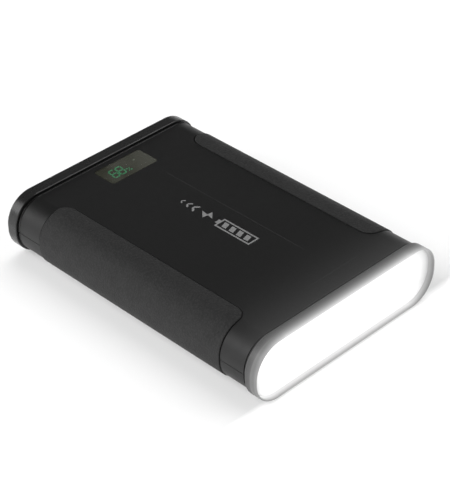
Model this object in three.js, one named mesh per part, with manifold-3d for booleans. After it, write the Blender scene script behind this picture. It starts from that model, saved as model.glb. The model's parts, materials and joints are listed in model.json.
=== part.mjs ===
// A flat lithium power bank with a lamp across its front end.
// Millimetres. X is the width, Y the length (lamp at -Y, sockets at +Y) and Z is up.
// The origin is under the middle of the case, on the surface that the feet stand on.
import * as THREE from 'three';
import { mergeVertices } from 'three/addons/utils/BufferGeometryUtils.js';
import Module from 'manifold-3d';

const wasm = await Module();
wasm.setup();

// Driving dimensions of the outside
const LENGTH = 214;
const FLANGE_WIDTH = 152;
const FLANGE_HEIGHT = 41;
const FLANGE_RADIUS = 19;
const FLANGE_CLEARANCE = 0.6; // from the ground to the underside of both end flanges
const MID = FLANGE_CLEARANCE + FLANGE_HEIGHT / 2;
const GAP = 0.3; // left between neighbouring pieces
const ROOT = 0.2; // how far a post or rib reaches into the wall that it stands on
const PAST = 1; // how far a cut runs past the face that it opens

// How far each layer of the case lies inside the flanges
const GRIP_INSET = 0.8;
const BODY_INSET = 1.4;
const GRIP_THICKNESS = 1.3;
const WALL = 2.2;
const INNER_INSET = BODY_INSET + WALL;
const SPIGOT_INSET = INNER_INSET + GAP;
const SPIGOT_WALL = 1.6;
const SPIGOT_BORE = SPIGOT_INSET + SPIGOT_WALL;
const BODY_BOTTOM = FLANGE_CLEARANCE + BODY_INSET;
const BODY_TOP = FLANGE_CLEARANCE + FLANGE_HEIGHT - BODY_INSET;
const INNER_TOP = BODY_TOP - WALL;
const INNER_BOTTOM = BODY_BOTTOM + WALL;

// Stations along the length
const FRONT = -LENGTH / 2;
const BEZEL_BACK = FRONT + 8.9;
const SHELL_FRONT = BEZEL_BACK + GAP;
const BEZEL_SPIGOT_END = BEZEL_BACK + 6.1;
const REAR = LENGTH / 2;
const CAP_FRONT = REAR - 8.2;
const SHELL_REAR = CAP_FRONT - 0.5;
const CAP_SPIGOT_END = CAP_FRONT - 6.1;

// Lamp
const RIM_WALL = 1.3;
const LENS_RECESS = 3.5;
const LENS_THICKNESS = 1.9;
const GASKET_THICKNESS = 0.5;
const LENS_FRONT = FRONT + LENS_RECESS;
const LENS_BACK = LENS_FRONT + LENS_THICKNESS;
const GASKET_FRONT = LENS_BACK + GAP;
const LEDGE_FRONT = GASKET_FRONT + GASKET_THICKNESS + GAP;
const REFLECTOR_WALL = 1.2;
const LED_STRIP = { width: 118, height: 4, thickness: 0.9 };
const BOARD_THICKNESS = 1.6;
const LED_BOARD_FRONT = BEZEL_SPIGOT_END + GAP;

// Shell joint: a tongue on the lower shell stands inside the upper shell's wall
const TONGUE_HEIGHT = 1.5;
const TONGUE_THICKNESS = 0.9;

// Rubber side grips, as they look from above
const GRIP_EDGE = 51.6;
const GRIP_FRONT = -77.2;
const GRIP_REAR = 77.6;
const GRIP_CORNER = 8.5;

// Charge display in the top of the upper shell
const DISPLAY = { x: 2, y: 83.2, width: 38, length: 18.5, thickness: 1.2, corner: 2.2 };
const DISPLAY_LEDGE = 2.5;
const DISPLAY_MODULE = { width: 30, length: 13.5, height: 5.5 };
const DISPLAY_BOARD = { width: 52, length: 16, thickness: 1.3 };
const DISPLAY_POST = { spacing: 42, radius: 2.2 };

// Feet, and the case screws that they cover
const FOOT_X = 44;
const FOOT_Y = 85;
const FOOT_RADIUS = 6;
const FOOT_SEAT = 0.8;
const POST_RADIUS = 3.5;
const SCREW_SHANK = 1.25;
const SCREW_TIP = { radius: 0.75, length: 1 };
const SCREW_HOLE = 1.6;
const SCREW_HEAD = 2.6;
const SCREW_HEAD_HEIGHT = 1.6;
const COUNTERBORE = 2.9;

// Rear panel, with everything on one line at mid height
const PANEL_INSET = 3.3;
const PANEL_THICKNESS = 2.2;
const PANEL_FRONT = REAR - 4;
const PANEL_REAR = PANEL_FRONT + PANEL_THICKNESS;
const CAP_SCREW = { x: 36, z: 11.8, boss: 3.5, rib: 2.4, length: 16, seat: 1.2 };
const CASE_SCREW_LENGTH = 24;
const BUTTONS = { power_button: -56, lamp_button: 56 };
const SWITCHES = { power_switch: -56, lamp_switch: 56 };
const DC_SOCKETS = { dc_input_socket: -38, dc_output_socket_1: -22, dc_output_socket_2: -6 };
const USB_C_X = 10;
const USB_A_SOCKETS = { usb_a_socket_1: 25, usb_a_socket_2: 41 };
const SOCKET_REAR = PANEL_REAR - GAP;
const SOCKET_FRONT = 90.9;
const DC_NOSE = 3.7;
const DC_BORE = 3;
const DC_PIN = 1.05;
const DC_BODY = { width: 9, height: 11, boreFloor: 3, pinRecess: 1.5 };
const USB_A = {
  width: 13.2, height: 5.8, wall: 0.4, back: 2, tongue: 11, tongueLevels: [0.2, 2], tongueRecess: 1,
};
const USB_C = {
  width: 9, height: 3.3, wall: 0.35, back: 4, tongue: 6.7, tongueThickness: 0.7, tongueRecess: 0.8,
};
const ROUND_END = 0.01; // keeps the radius of a fully rounded end just under half its height
const BUTTON_RADIUS = 5.3;
const BUTTON_PROUD = 0.9;
const BUTTON_FLANGE = { radius: 6.4, thickness: 1 };
const BUTTON_BEVEL = 0.4;
const STEM_RADIUS = 1.5;
const SWITCH_REAR = 95.4;
const SWITCH = { side: 6, bore: 2, boreDepth: 2.6 };
const STEM_ENGAGEMENT = 1; // how far a button's stem reaches into its switch
const PORT_BOARD = { width: 124, height: 16 };

// Battery: two rows of four cylindrical cells
const CELL_RADIUS = 16.1;
const CELL_LENGTH = 69.5;
const CELL_NUB = 1;
const CELL_NUB_RADIUS = 4.5;
const CELL_PITCH = 33.2;
const CELL_ROWS = [-79.5, -7.9];
const CELL_TOTAL = CELL_LENGTH + CELL_NUB;
const WRAP_CLEARANCE = 0.2;
const WRAP_THICKNESS = 0.3;
const STRIP_THICKNESS = 0.3;
const STRIP_HALF_HEIGHT = 5;
const STRIP_INNER = 6;
const STRIP_OUTER = 60;

// Electronics behind the battery
const PROTECTION_BOARD = { width: 96, height: 26, front: 64.2 };
const MAIN_BOARD = { width: 120, front: 66.4, rear: 81.2, bottom: 8 };
const STANDOFF = { radius: 2.5, places: [12, 52] };
const INDUCTOR = { side: 13, corner: 2.5, height: 8 };
const CAPACITOR = { x: 38, radius: 5, height: 16 };
const COMPONENT_Y = 73.8;

const ARC_STEPS = 4; // half the straight edges in each rounded corner
const ROUND_STEPS = 20; // edges round a button or foot
const HOLE_STEPS = 12; // edges round a screw hole, socket or post
const SMALL_ARC_STEPS = 2; // half the straight edges in each corner of a small outline
const CELL_STEPS = 24;
const LEAD_STEPS = 40;
const LEAD_SIDES = 8;

// ---- Geometry helpers ----

function roundedRectangle(width, height, radius) {
  const shape = new THREE.Shape();
  const x = width / 2 - radius;
  const y = height / 2 - radius;
  shape.absarc(x, y, radius, 0, Math.PI / 2);
  shape.absarc(-x, y, radius, Math.PI / 2, Math.PI);
  shape.absarc(-x, -y, radius, Math.PI, 1.5 * Math.PI);
  shape.absarc(x, -y, radius, 1.5 * Math.PI, 2 * Math.PI);
  shape.closePath();
  return shape;
}

// The case's cross section, inset from the flanges
function section(inset) {
  return roundedRectangle(
    FLANGE_WIDTH - 2 * inset, FLANGE_HEIGHT - 2 * inset, FLANGE_RADIUS - inset);
}

function closed(geometry) {
  geometry.deleteAttribute('normal');
  geometry.deleteAttribute('uv');
  return mergeVertices(geometry, 1e-4);
}

// A shape drawn in X and Z, extruded along Y
function alongY(shape, from, to, z = MID, steps = ARC_STEPS) {
  const options = { depth: to - from, bevelEnabled: false, curveSegments: steps };
  const geometry = new THREE.ExtrudeGeometry(shape, options);
  geometry.rotateX(Math.PI / 2);
  geometry.translate(0, to, z);
  return geometry;
}

// A shape drawn in X and Y, extruded along Z
function alongZ(shape, from, to, steps = ARC_STEPS) {
  const options = { depth: to - from, bevelEnabled: false, curveSegments: steps };
  const geometry = new THREE.ExtrudeGeometry(shape, options);
  geometry.translate(0, 0, from);
  return geometry;
}

function block(x, y, z) {
  const geometry = new THREE.BoxGeometry(x[1] - x[0], y[1] - y[0], z[1] - z[0]);
  geometry.translate((x[0] + x[1]) / 2, (y[0] + y[1]) / 2, (z[0] + z[1]) / 2);
  return geometry;
}

function rodY(x, z, radius, from, to, steps = ROUND_STEPS) {
  const geometry = new THREE.CylinderGeometry(radius, radius, to - from, steps);
  geometry.translate(x, (from + to) / 2, z);
  return geometry;
}

function rodZ(x, y, radius, from, to, steps = ROUND_STEPS) {
  const geometry = new THREE.CylinderGeometry(radius, radius, to - from, steps);
  geometry.rotateX(Math.PI / 2);
  geometry.translate(x, y, (from + to) / 2);
  return geometry;
}

function centred(size, at = 0) {
  return [at - size / 2, at + size / 2];
}

// ---- Joining and cutting ----

function toSolid(geometry) {
  const merged = closed(geometry);
  const mesh = new wasm.Mesh({
    numProp: 3,
    vertProperties: new Float32Array(merged.attributes.position.array),
    triVerts: new Uint32Array(merged.index.array),
  });
  return new wasm.Manifold(mesh);
}

function toGeometry(solid) {
  const mesh = solid.getMesh();
  const geometry = new THREE.BufferGeometry();
  geometry.setAttribute('position', new THREE.BufferAttribute(mesh.vertProperties, 3));
  geometry.setIndex(new THREE.BufferAttribute(mesh.triVerts, 1));
  geometry.computeVertexNormals();
  return geometry;
}

function union(geometries) {
  return geometries.map(toSolid).reduce((whole, piece) => whole.add(piece));
}

function shaped(added, removed) {
  return toGeometry(removed.map(toSolid).reduce((whole, cut) => whole.subtract(cut), union(added)));
}

// ---- Materials ----

function plastic(color, roughness) {
  return new THREE.MeshStandardMaterial({ color, roughness, metalness: 0 });
}

function metal(color, roughness) {
  return new THREE.MeshStandardMaterial({ color, roughness, metalness: 1 });
}

const model = new THREE.Group();

function place(name, geometry, material, parent = model) {
  const mesh = new THREE.Mesh(geometry, material);
  mesh.name = name;
  parent.add(mesh);
  return mesh;
}

// ---- Side grips ----

// The grips' outline from above, grown by a margin, on one side of the case
function gripOutline(side, margin) {
  const inner = GRIP_EDGE - margin;
  const outer = FLANGE_WIDTH / 2 + PAST;
  const radius = GRIP_CORNER + margin;
  const front = GRIP_FRONT - margin;
  const rear = GRIP_REAR + margin;
  const shape = new THREE.Shape();
  shape.moveTo(outer, front);
  shape.lineTo(outer, rear);
  shape.lineTo(inner + radius, rear);
  shape.absarc(inner + radius, rear - radius, radius, Math.PI / 2, Math.PI);
  shape.absarc(inner + radius, front + radius, radius, Math.PI, 1.5 * Math.PI);
  shape.closePath();
  const prism = alongZ(shape, 0, FLANGE_CLEARANCE + FLANGE_HEIGHT);
  if (side < 0) {
    prism.rotateZ(Math.PI);
    prism.translate(0, GRIP_FRONT + GRIP_REAR, 0);
  }
  return prism;
}

function grip(side) {
  const outside = toSolid(alongY(section(GRIP_INSET), GRIP_FRONT, GRIP_REAR));
  const inside = toSolid(
    alongY(section(GRIP_INSET + GRIP_THICKNESS), GRIP_FRONT - PAST, GRIP_REAR + PAST));
  return toGeometry(outside.subtract(inside).intersect(toSolid(gripOutline(side, 0))));
}

function gripRecess(side) {
  const floor = toSolid(
    alongY(section(GRIP_INSET + GRIP_THICKNESS + GAP), GRIP_FRONT - PAST, GRIP_REAR + PAST));
  return toSolid(gripOutline(side, GAP)).subtract(floor);
}

// ---- Case shells ----

function caseTube() {
  const outside = toSolid(alongY(section(BODY_INSET), SHELL_FRONT, SHELL_REAR));
  const bore = toSolid(alongY(section(INNER_INSET), SHELL_FRONT - PAST, SHELL_REAR + PAST));
  return outside.subtract(bore).subtract(gripRecess(-1)).subtract(gripRecess(1));
}

function halfSpace(from, to) {
  return toSolid(block(centred(FLANGE_WIDTH), [FRONT, REAR], [from, to]));
}

// The band inside the wall, from one inset to another, along the whole shell
function wallBand(from, to, low, high) {
  const outside = toSolid(alongY(section(from), SHELL_FRONT, SHELL_REAR));
  const inside = toSolid(alongY(section(to), SHELL_FRONT - PAST, SHELL_REAR + PAST));
  return outside.subtract(inside).intersect(halfSpace(low, high));
}

function feetPlaces() {
  return [-1, 1].flatMap((side) => [-1, 1].map((end) => ({ x: side * FOOT_X, y: end * FOOT_Y })));
}

const BOSS_START = FOOT_Y - 1;
const BOSS_HOLE_END = FOOT_Y + 0.5;
const CASE_HOLE_END = INNER_TOP - 4;

function capBoss(x, z) {
  const wall = z > MID ? INNER_TOP + ROOT : INNER_BOTTOM - ROOT;
  const rib = z > MID ? [z, wall] : [wall, z];
  const length = [BOSS_START, CAP_SPIGOT_END - GAP];
  return [
    rodY(x, z, CAP_SCREW.boss, ...length),
    block(centred(CAP_SCREW.rib, x), length, rib),
  ];
}

function upperShell() {
  const topLip = MID + TONGUE_HEIGHT + GAP;
  const lipRoom = wallBand(INNER_INSET - TONGUE_THICKNESS - GAP, INNER_INSET + PAST, 0, topLip);
  let shell = caseTube().intersect(halfSpace(MID + GAP / 2, BODY_TOP + PAST)).subtract(lipRoom);
  for (const { x, y } of feetPlaces()) {
    shell = shell.add(toSolid(rodZ(x, y, POST_RADIUS, MID + GAP / 2, INNER_TOP + ROOT)));
    shell = shell.subtract(toSolid(rodZ(x, y, SCREW_HOLE, 0, CASE_HOLE_END, HOLE_STEPS)));
  }
  for (const side of [-1, 1]) {
    const z = MID + CAP_SCREW.z;
    const boss = union(capBoss(side * CAP_SCREW.x, z));
    shell = shell.add(boss);
    shell = shell.subtract(
      toSolid(rodY(side * CAP_SCREW.x, z, SCREW_HOLE, BOSS_HOLE_END, REAR, HOLE_STEPS)));
    const post = rodZ(
      DISPLAY.x + side * DISPLAY_POST.spacing / 2, DISPLAY.y, DISPLAY_POST.radius,
      INNER_TOP - DISPLAY_MODULE.height - GAP, INNER_TOP + ROOT, HOLE_STEPS);
    shell = shell.add(toSolid(post));
  }
  const seat = BODY_TOP - DISPLAY.thickness - GAP;
  const above = BODY_TOP + PAST;
  const windowRoom = roundedRectangle(
    DISPLAY.width + 2 * GAP, DISPLAY.length + 2 * GAP, DISPLAY.corner + GAP);
  const windowHole = roundedRectangle(
    DISPLAY.width - 2 * DISPLAY_LEDGE, DISPLAY.length - 2 * DISPLAY_LEDGE, DISPLAY.corner / 2);
  const cuts = [
    alongZ(windowRoom, seat, above, SMALL_ARC_STEPS),
    alongZ(windowHole, INNER_TOP - PAST, above, SMALL_ARC_STEPS),
  ];
  for (const cut of cuts) {
    cut.translate(DISPLAY.x, DISPLAY.y, 0);
    shell = shell.subtract(toSolid(cut));
  }
  return toGeometry(shell);
}

function lowerShell() {
  const tongue = wallBand(
    INNER_INSET - TONGUE_THICKNESS, INNER_INSET, MID - PAST, MID + TONGUE_HEIGHT);
  let shell = caseTube().intersect(halfSpace(0, MID - GAP / 2)).add(tongue);
  for (const { x, y } of feetPlaces()) {
    const headRoom = BODY_BOTTOM + FOOT_SEAT + GAP + SCREW_HEAD_HEIGHT + GAP;
    shell = shell.add(toSolid(rodZ(x, y, POST_RADIUS, INNER_BOTTOM - ROOT, MID - GAP / 2)));
    shell = shell.subtract(toSolid(rodZ(x, y, SCREW_HOLE, 0, MID + PAST, HOLE_STEPS)));
    shell = shell.subtract(toSolid(rodZ(x, y, COUNTERBORE, 0, headRoom, HOLE_STEPS)));
    shell = shell.subtract(
      toSolid(rodZ(x, y, FOOT_RADIUS + GAP, 0, BODY_BOTTOM + FOOT_SEAT)));
  }
  for (const side of [-1, 1]) {
    const z = MID - CAP_SCREW.z;
    shell = shell.add(union(capBoss(side * CAP_SCREW.x, z)));
    shell = shell.subtract(
      toSolid(rodY(side * CAP_SCREW.x, z, SCREW_HOLE, BOSS_HOLE_END, REAR, HOLE_STEPS)));
    for (const x of STANDOFF.places) {
      const standoff = rodZ(
        side * x, COMPONENT_Y, STANDOFF.radius, INNER_BOTTOM - ROOT, MAIN_BOARD.bottom - GAP,
        HOLE_STEPS);
      shell = shell.add(toSolid(standoff));
    }
  }
  return toGeometry(shell);
}

// ---- Lamp end ----

function ringAlongY(outerInset, innerInset, from, to) {
  const ring = section(outerInset);
  ring.holes.push(section(innerInset));
  return alongY(ring, from, to);
}

function frontBezel() {
  return shaped(
    [
      alongY(section(0), FRONT, BEZEL_BACK),
      alongY(section(SPIGOT_INSET), BEZEL_BACK - PAST, BEZEL_SPIGOT_END),
    ],
    [
      alongY(section(RIM_WALL), FRONT - PAST, LEDGE_FRONT),
      alongY(section(SPIGOT_BORE), FRONT - PAST, BEZEL_SPIGOT_END + PAST),
    ]);
}

function lampParts() {
  const lensInset = RIM_WALL + GAP;
  const reflectorInset = SPIGOT_BORE + GAP;
  const white = plastic('#f2f2f2', 0.4);
  place('front_bezel', frontBezel(), plastic('#9a9a9a', 0.5));
  place('lamp_lens', alongY(section(lensInset), LENS_FRONT, LENS_BACK), plastic('#ffffff', 0.3));
  place('lens_gasket',
    ringAlongY(lensInset, SPIGOT_BORE, GASKET_FRONT, GASKET_FRONT + GASKET_THICKNESS),
    plastic('#202020', 0.9));
  place('lamp_reflector',
    ringAlongY(reflectorInset, reflectorInset + REFLECTOR_WALL, LEDGE_FRONT, BEZEL_SPIGOT_END),
    white);
  const board = alongY(
    section(SPIGOT_INSET + GAP), LED_BOARD_FRONT, LED_BOARD_FRONT + BOARD_THICKNESS);
  place('led_board', board, plastic('#e8e8e8', 0.5));
  const stripBack = LED_BOARD_FRONT - GAP;
  const strip = block(
    centred(LED_STRIP.width), [stripBack - LED_STRIP.thickness, stripBack],
    centred(LED_STRIP.height, MID));
  place('led_strip', strip, plastic('#f5e27a', 0.5));
}

// ---- Rear end ----

function rearCap() {
  return shaped(
    [
      alongY(section(0), CAP_FRONT, REAR),
      alongY(section(SPIGOT_INSET), CAP_SPIGOT_END, CAP_FRONT + PAST),
    ],
    [
      alongY(section(PANEL_INSET - GAP), PANEL_FRONT - GAP, REAR + PAST),
      alongY(section(SPIGOT_BORE), CAP_SPIGOT_END - PAST, REAR + PAST),
    ]);
}

function capScrewPlaces() {
  return [-1, 1].flatMap((side) => [-1, 1].map((level) => (
    { x: side * CAP_SCREW.x, z: MID + level * CAP_SCREW.z })));
}

const SCREW_SEAT = PANEL_REAR - CAP_SCREW.seat;

function portPanel() {
  const holes = [];
  const through = [PANEL_FRONT - PAST, PANEL_REAR + PAST];
  for (const x of Object.values(BUTTONS)) {
    holes.push(rodY(x, MID, BUTTON_RADIUS + GAP, ...through));
  }
  for (const x of Object.values(DC_SOCKETS)) {
    holes.push(rodY(x, MID, DC_NOSE + GAP, ...through, HOLE_STEPS));
  }
  for (const x of Object.values(USB_A_SOCKETS)) {
    holes.push(block(
      centred(USB_A.width + 2 * GAP, x), through, centred(USB_A.height + 2 * GAP, MID)));
  }
  const usbHole = roundedRectangle(
    USB_C.width + 2 * GAP, USB_C.height + 2 * GAP, USB_C.height / 2 + GAP - ROUND_END);
  const usbCut = alongY(usbHole, ...through);
  usbCut.translate(USB_C_X, 0, 0);
  holes.push(usbCut);
  for (const { x, z } of capScrewPlaces()) {
    holes.push(rodY(x, z, SCREW_HOLE, ...through, HOLE_STEPS));
    holes.push(rodY(x, z, COUNTERBORE, SCREW_SEAT, through[1], HOLE_STEPS));
  }
  return shaped([alongY(section(PANEL_INSET), PANEL_FRONT, PANEL_REAR)], holes);
}

// A pan-head screw, head up along +Y, the head's underside at the origin
function screw(shankLength) {
  const profile = [
    [0, -shankLength], [SCREW_TIP.radius, -shankLength],
    [SCREW_SHANK, SCREW_TIP.length - shankLength], [SCREW_SHANK, 0], [SCREW_HEAD, 0],
    [SCREW_HEAD, SCREW_HEAD_HEIGHT * 0.6], [SCREW_HEAD * 0.7, SCREW_HEAD_HEIGHT],
    [0, SCREW_HEAD_HEIGHT],
  ];
  return new THREE.LatheGeometry(profile.map(([r, y]) => new THREE.Vector2(r, y)), HOLE_STEPS);
}

function placeScrews() {
  const steel = metal('#3a3a3c', 0.4);
  capScrewPlaces().forEach(({ x, z }, i) => {
    const mesh = place(`cap_screw_${i + 1}`, screw(CAP_SCREW.length), steel.clone());
    mesh.position.set(x, SCREW_SEAT + GAP, z);
  });
  feetPlaces().forEach(({ x, y }, i) => {
    const mesh = place(`case_screw_${i + 1}`, screw(CASE_SCREW_LENGTH), steel.clone());
    mesh.position.set(x, y, BODY_BOTTOM + FOOT_SEAT + GAP + SCREW_HEAD_HEIGHT);
    mesh.rotation.x = -Math.PI / 2;
  });
}

function placeFeet() {
  feetPlaces().forEach(({ x, y }, i) => {
    const height = BODY_BOTTOM + FOOT_SEAT - GAP;
    place(`foot_${i + 1}`, rodZ(x, y, FOOT_RADIUS, 0, height), plastic('#1b1b1b', 0.9));
  });
}

// ---- Sockets, buttons and switches ----

function dcSocket(x) {
  const bodyRear = PANEL_FRONT - GAP;
  const tube = toSolid(block(
    centred(DC_BODY.width, x), [SOCKET_FRONT, bodyRear], centred(DC_BODY.height, MID)))
    .add(toSolid(rodY(x, MID, DC_NOSE, bodyRear - PAST, SOCKET_REAR, HOLE_STEPS)))
    .subtract(toSolid(rodY(
      x, MID, DC_BORE, SOCKET_FRONT + DC_BODY.boreFloor, SOCKET_REAR + PAST, HOLE_STEPS)));
  const pin = rodY(
    x, MID, DC_PIN, SOCKET_FRONT + DC_BODY.boreFloor - PAST, SOCKET_REAR - DC_BODY.pinRecess,
    LEAD_SIDES);
  return toGeometry(tube.add(toSolid(pin)));
}

function usbSocket(shell, cavity, tongue) {
  return toGeometry(toSolid(shell).subtract(toSolid(cavity)).add(toSolid(tongue)));
}

function usbASocket(x) {
  const { width, height, wall, back } = USB_A;
  const shell = block(centred(width, x), [SOCKET_FRONT, SOCKET_REAR], centred(height, MID));
  const cavity = block(
    centred(width - 2 * wall, x), [SOCKET_FRONT + back, SOCKET_REAR + PAST],
    centred(height - 2 * wall, MID));
  const tongue = block(
    centred(USB_A.tongue, x), [SOCKET_FRONT + back - PAST, SOCKET_REAR - USB_A.tongueRecess],
    USB_A.tongueLevels.map((level) => MID + level));
  return usbSocket(shell, cavity, tongue);
}

function usbCSocket() {
  const { width, height, wall, back } = USB_C;
  const outline = (inset) => roundedRectangle(
    width - 2 * inset, height - 2 * inset, height / 2 - inset - ROUND_END);
  const shell = alongY(outline(0), SOCKET_FRONT, SOCKET_REAR);
  const cavity = alongY(outline(wall), SOCKET_FRONT + back, SOCKET_REAR + PAST);
  const tongue = block(
    centred(USB_C.tongue), [SOCKET_FRONT + back - PAST, SOCKET_REAR - USB_C.tongueRecess],
    centred(USB_C.tongueThickness, MID));
  const socket = usbSocket(shell, cavity, tongue);
  socket.translate(USB_C_X, 0, 0);
  return socket;
}

// A round cap with a flange that keeps it behind the panel and a stem that works the switch
function button(x) {
  const stemEnd = SWITCH_REAR - STEM_ENGAGEMENT;
  const flangeRear = PANEL_FRONT - GAP;
  const flangeFront = flangeRear - BUTTON_FLANGE.thickness;
  const face = PANEL_REAR + BUTTON_PROUD;
  const profile = [
    [0, stemEnd], [STEM_RADIUS, stemEnd], [STEM_RADIUS, flangeFront],
    [BUTTON_FLANGE.radius, flangeFront], [BUTTON_FLANGE.radius, flangeRear],
    [BUTTON_RADIUS, flangeRear], [BUTTON_RADIUS, face - BUTTON_BEVEL],
    [BUTTON_RADIUS - BUTTON_BEVEL, face], [0, face],
  ];
  const points = profile.map(([r, y]) => new THREE.Vector2(r, y));
  const geometry = new THREE.LatheGeometry(points, ROUND_STEPS);
  geometry.translate(x, 0, MID);
  return geometry;
}

function tactSwitch(x) {
  return shaped(
    [block(centred(SWITCH.side, x), [SOCKET_FRONT, SWITCH_REAR], centred(SWITCH.side, MID))],
    [rodY(x, MID, SWITCH.bore, SWITCH_REAR - SWITCH.boreDepth, SWITCH_REAR + PAST, HOLE_STEPS)]);
}

function rearParts() {
  place('rear_cap', rearCap(), plastic('#161616', 0.35));
  place('port_panel', portPanel(), plastic('#1d1d1d', 0.5));
  for (const [name, x] of Object.entries(DC_SOCKETS)) {
    place(name, dcSocket(x), plastic('#0e0e0e', 0.5));
  }
  for (const [name, x] of Object.entries(USB_A_SOCKETS)) {
    place(name, usbASocket(x), metal('#c8c8c8', 0.3));
  }
  place('usb_c_socket', usbCSocket(), metal('#c8c8c8', 0.3));
  for (const [name, x] of Object.entries(BUTTONS)) {
    place(name, button(x), plastic('#2a2a2a', 0.6));
  }
  for (const [name, x] of Object.entries(SWITCHES)) {
    place(name, tactSwitch(x), plastic('#101010', 0.5));
  }
  const board = block(
    centred(PORT_BOARD.width), [SOCKET_FRONT - GAP - BOARD_THICKNESS, SOCKET_FRONT - GAP],
    centred(PORT_BOARD.height, MID));
  place('port_board', board, plastic('#14532d', 0.5));
}

// ---- Display ----

function displayParts() {
  const { x, y, width, length, thickness, corner } = DISPLAY;
  const pane = alongZ(
    roundedRectangle(width, length, corner), BODY_TOP - thickness, BODY_TOP, SMALL_ARC_STEPS);
  pane.translate(x, y, 0);
  place('display_window', pane, plastic('#2b2b28', 0.1));
  const moduleTop = INNER_TOP - GAP;
  const moduleBottom = moduleTop - DISPLAY_MODULE.height;
  place('display_module',
    block(centred(DISPLAY_MODULE.width, x), centred(DISPLAY_MODULE.length, y),
      [moduleBottom, moduleTop]),
    plastic('#151515', 0.6));
  const boardTop = moduleBottom - GAP;
  place('display_board',
    block(centred(DISPLAY_BOARD.width, x), centred(DISPLAY_BOARD.length, y),
      [boardTop - DISPLAY_BOARD.thickness, boardTop]),
    plastic('#14532d', 0.5));
}

// ---- Battery ----

// A cell along +Y, from its flat end at the origin to the contact at its other end
function cell() {
  const profile = [
    [0, 0], [CELL_RADIUS, 0], [CELL_RADIUS, CELL_LENGTH], [CELL_NUB_RADIUS, CELL_LENGTH],
    [CELL_NUB_RADIUS, CELL_TOTAL], [0, CELL_TOTAL],
  ];
  return new THREE.LatheGeometry(profile.map(([r, y]) => new THREE.Vector2(r, y)), CELL_STEPS);
}

function strip(name, x, front) {
  const geometry = block(
    x, [front, front + STRIP_THICKNESS], centred(2 * STRIP_HALF_HEIGHT, MID));
  place(name, geometry, metal('#b8b8b0', 0.4));
}

function batteryParts() {
  const columns = [-1.5, -0.5, 0.5, 1.5].map((n) => n * CELL_PITCH);
  let number = 1;
  for (const row of CELL_ROWS) {
    for (const x of columns) {
      const mesh = place(`cell_${number}`, cell(), plastic('#1c4f8a', 0.4));
      const contactForward = x < 0;
      mesh.position.set(x, contactForward ? row + CELL_TOTAL : row, MID);
      mesh.rotation.x = contactForward ? Math.PI : 0;
      number += 1;
    }
  }
  const halfWidth = columns[3] + CELL_RADIUS + WRAP_CLEARANCE;
  const radius = CELL_RADIUS + WRAP_CLEARANCE;
  const outline = (grow) => roundedRectangle(
    2 * (halfWidth + grow), 2 * (radius + grow), radius + grow - ROUND_END);
  const wrap = outline(WRAP_THICKNESS);
  wrap.holes.push(outline(0));
  const packRear = CELL_ROWS[1] + CELL_TOTAL;
  place('battery_wrap', alongY(wrap, CELL_ROWS[0], packRear), plastic('#20242a', 0.5));

  const left = [-STRIP_OUTER, -STRIP_INNER];
  const right = [STRIP_INNER, STRIP_OUTER];
  const betweenRows = (CELL_ROWS[0] + CELL_TOTAL + CELL_ROWS[1] - STRIP_THICKNESS) / 2;
  strip('strip_positive', left, CELL_ROWS[0] - GAP - STRIP_THICKNESS);
  strip('strip_negative', right, CELL_ROWS[0] - GAP - STRIP_THICKNESS);
  strip('strip_middle_left', left, betweenRows);
  strip('strip_middle_right', right, betweenRows);
  strip('strip_link', [-STRIP_OUTER, STRIP_OUTER], packRear + GAP);
}

// ---- Electronics and wiring ----

function electronics() {
  const { width, front, rear, bottom } = MAIN_BOARD;
  const green = () => plastic('#14532d', 0.5);
  place('main_board', block(centred(width), [front, rear], [bottom, bottom + BOARD_THICKNESS]),
    green());
  place('protection_board',
    block(centred(PROTECTION_BOARD.width),
      [PROTECTION_BOARD.front, PROTECTION_BOARD.front + BOARD_THICKNESS],
      centred(PROTECTION_BOARD.height, MID)),
    green());
  const base = bottom + BOARD_THICKNESS + GAP;
  const inductor = alongZ(
    roundedRectangle(INDUCTOR.side, INDUCTOR.side, INDUCTOR.corner), base, base + INDUCTOR.height,
    SMALL_ARC_STEPS);
  inductor.translate(0, COMPONENT_Y, 0);
  place('inductor', inductor, plastic('#2e2e2e', 0.7));
  [-1, 1].forEach((side, i) => {
    const { x, radius, height } = CAPACITOR;
    place(`capacitor_${i + 1}`, rodZ(side * x, COMPONENT_Y, radius, base, base + height),
      metal('#8d8f94', 0.4));
  });
}

function lead(name, radius, points, color) {
  const path = new THREE.CatmullRomCurve3(points.map((p) => new THREE.Vector3(...p)));
  const outline = new THREE.Shape();
  outline.absarc(0, 0, radius, 0, 2 * Math.PI);
  const geometry = new THREE.ExtrudeGeometry(
    outline, { steps: LEAD_STEPS, curveSegments: LEAD_SIDES / 2, extrudePath: path });
  place(name, geometry, plastic(color, 0.5));
}

// Each lead leaves the front of the battery or the lamp, runs along one side and ends over
// the main board
function wiring() {
  lead('positive_lead', 1.5, [
    [-50, -82.6, MID], [-58, -82.8, MID], [-65.2, -82.7, MID], [-69.3, -79.8, MID],
    [-69.8, -73, MID], [-69.6, -20, MID], [-69.6, 30, MID], [-69.4, 58, MID],
    [-67, 64, MID - 4], [-61, 68, 12.8], [-53, 69.5, 11.8],
  ], '#b01818');
  lead('negative_lead', 1.5, [
    [50, -82.6, MID - 3], [58, -82.8, MID - 3], [65.2, -82.7, MID - 3], [69.3, -79.8, MID - 3],
    [69.8, -73, MID - 3], [69.6, -20, MID - 3], [69.6, 30, MID - 3], [69.4, 58, MID - 3],
    [67, 64, MID - 5], [61, 68, 12.8], [53, 69.5, 11.8],
  ], '#181818');
  lead('lamp_lead', 1, [
    [56, -88.6, MID + 4], [62, -88, MID + 4], [67, -84.5, MID + 4], [69, -78, MID + 4],
    [69.2, -72, MID + 4], [69.2, -20, MID + 4], [69.2, 30, MID + 4], [69, 60, MID + 4],
    [67, 68, MID + 2], [61, 75, 15], [54, 78, 11.6], [46, 78.4, 11],
  ], '#d8d8d8');
}

// ---- The whole power bank ----

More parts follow.
